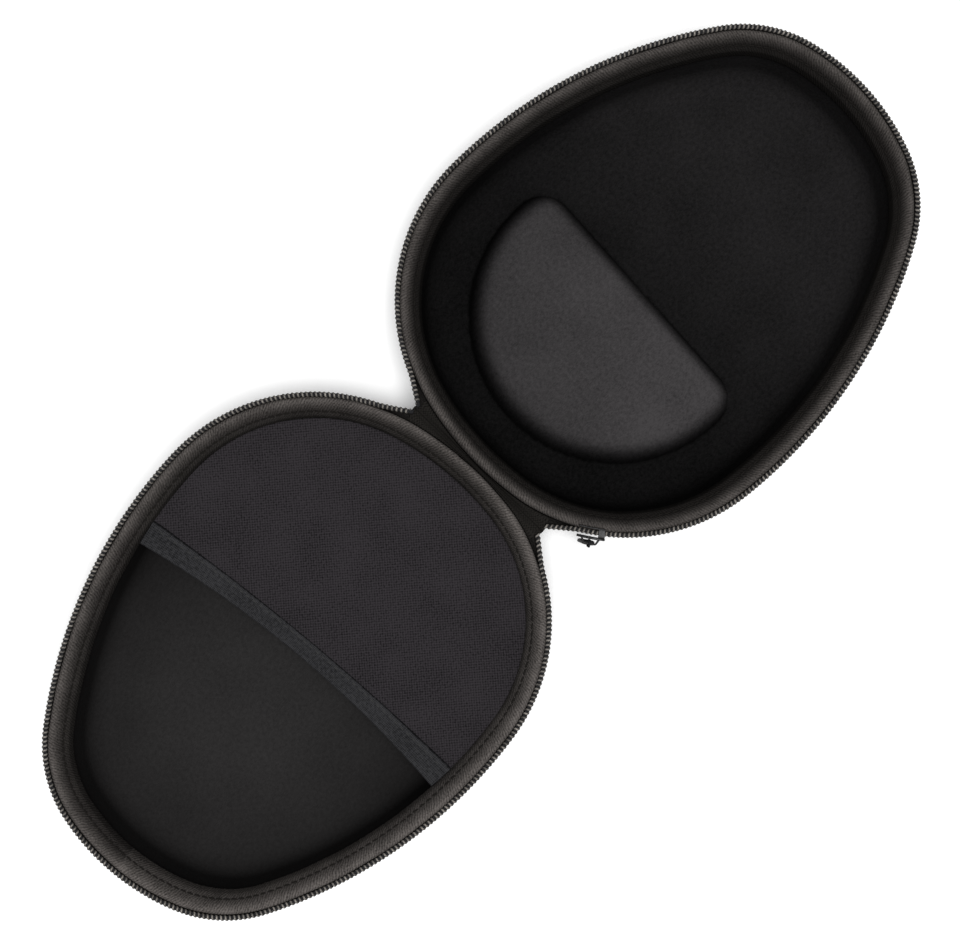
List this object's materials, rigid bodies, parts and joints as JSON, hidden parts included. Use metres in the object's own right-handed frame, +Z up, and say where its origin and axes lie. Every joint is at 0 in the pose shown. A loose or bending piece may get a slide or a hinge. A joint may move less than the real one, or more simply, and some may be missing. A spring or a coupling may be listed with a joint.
{
  "type": "headphone carrying case",
  "caption": "Clamshell hard-shell headphone case with egg-shaped padded halves, a fabric hinge, a coil zip round the rim, a moulded hump in the base and a mesh pocket in the lid.",
  "frame": {"origin": "on the table plane, midway between the two halves' tips and midway across their width, with the hinge line above it at x = 0", "axes": "+X from the hinge line towards the base's tip (the lid lies on -X), +Y along the hinge line, +Z up; the case lies open flat, both cavities up"},
  "size_m": [0.3904, 0.1606, 0.0413],
  "materials": {
    "cover_fabric": "matte",
    "hinge_fabric": "matte",
    "foam_black": "matte",
    "lining_nap": "matte",
    "binding_tape": "matte",
    "zip_tape": "matte",
    "zip_coil": "satin",
    "pocket_mesh": "matte",
    "pocket_hem": "matte",
    "elastic": "matte",
    "slider_metal": "satin",
    "pull_cord": "matte",
    "pull_grip": "satin"
  },
  "bodies": {
    "base": {"base_cover": "cover_fabric", "base_foam_shell": "foam_black", "base_lining": "lining_nap", "hump_core": "foam_black", "base_binding": "binding_tape", "base_zip_tape": "zip_tape", "base_zip_coil": "zip_coil", "base_hinge_strip": "hinge_fabric"},
    "lid": {"lid_cover": "cover_fabric", "lid_foam_shell": "foam_black", "lid_lining": "lining_nap", "lid_binding": "binding_tape", "lid_zip_tape": "zip_tape", "lid_zip_coil": "zip_coil", "lid_hinge_strip": "hinge_fabric", "pocket_panel": "pocket_mesh", "pocket_hem": "pocket_hem", "pocket_elastic": "elastic"},
    "zip_slider": {"zip_slider": "slider_metal"},
    "zip_pull": {"pull_cord": "pull_cord", "pull_grip": "pull_grip"}
  },
  "joints": [
    {"name": "lid_hinge", "type": "hinge", "parent": "base", "child": "lid", "pos_m": [0, 0, 0.038], "axis": [0, 1, 0], "range_deg": [0, 180]},
    {"name": "zip_slider_run", "type": "hinge", "parent": "base", "child": "zip_slider", "pos_m": [0.06936, -0.0096, 0.038], "axis": [0, 0, 1], "range_deg": [0, 45]},
    {"name": "zip_pull_swing", "type": "hinge", "parent": "zip_slider", "child": "zip_pull", "pos_m": [0.0085, -0.04973, 0.038], "axis": [-0.5505, 0.8348, 0], "range_deg": [0, 150]}
  ]
}
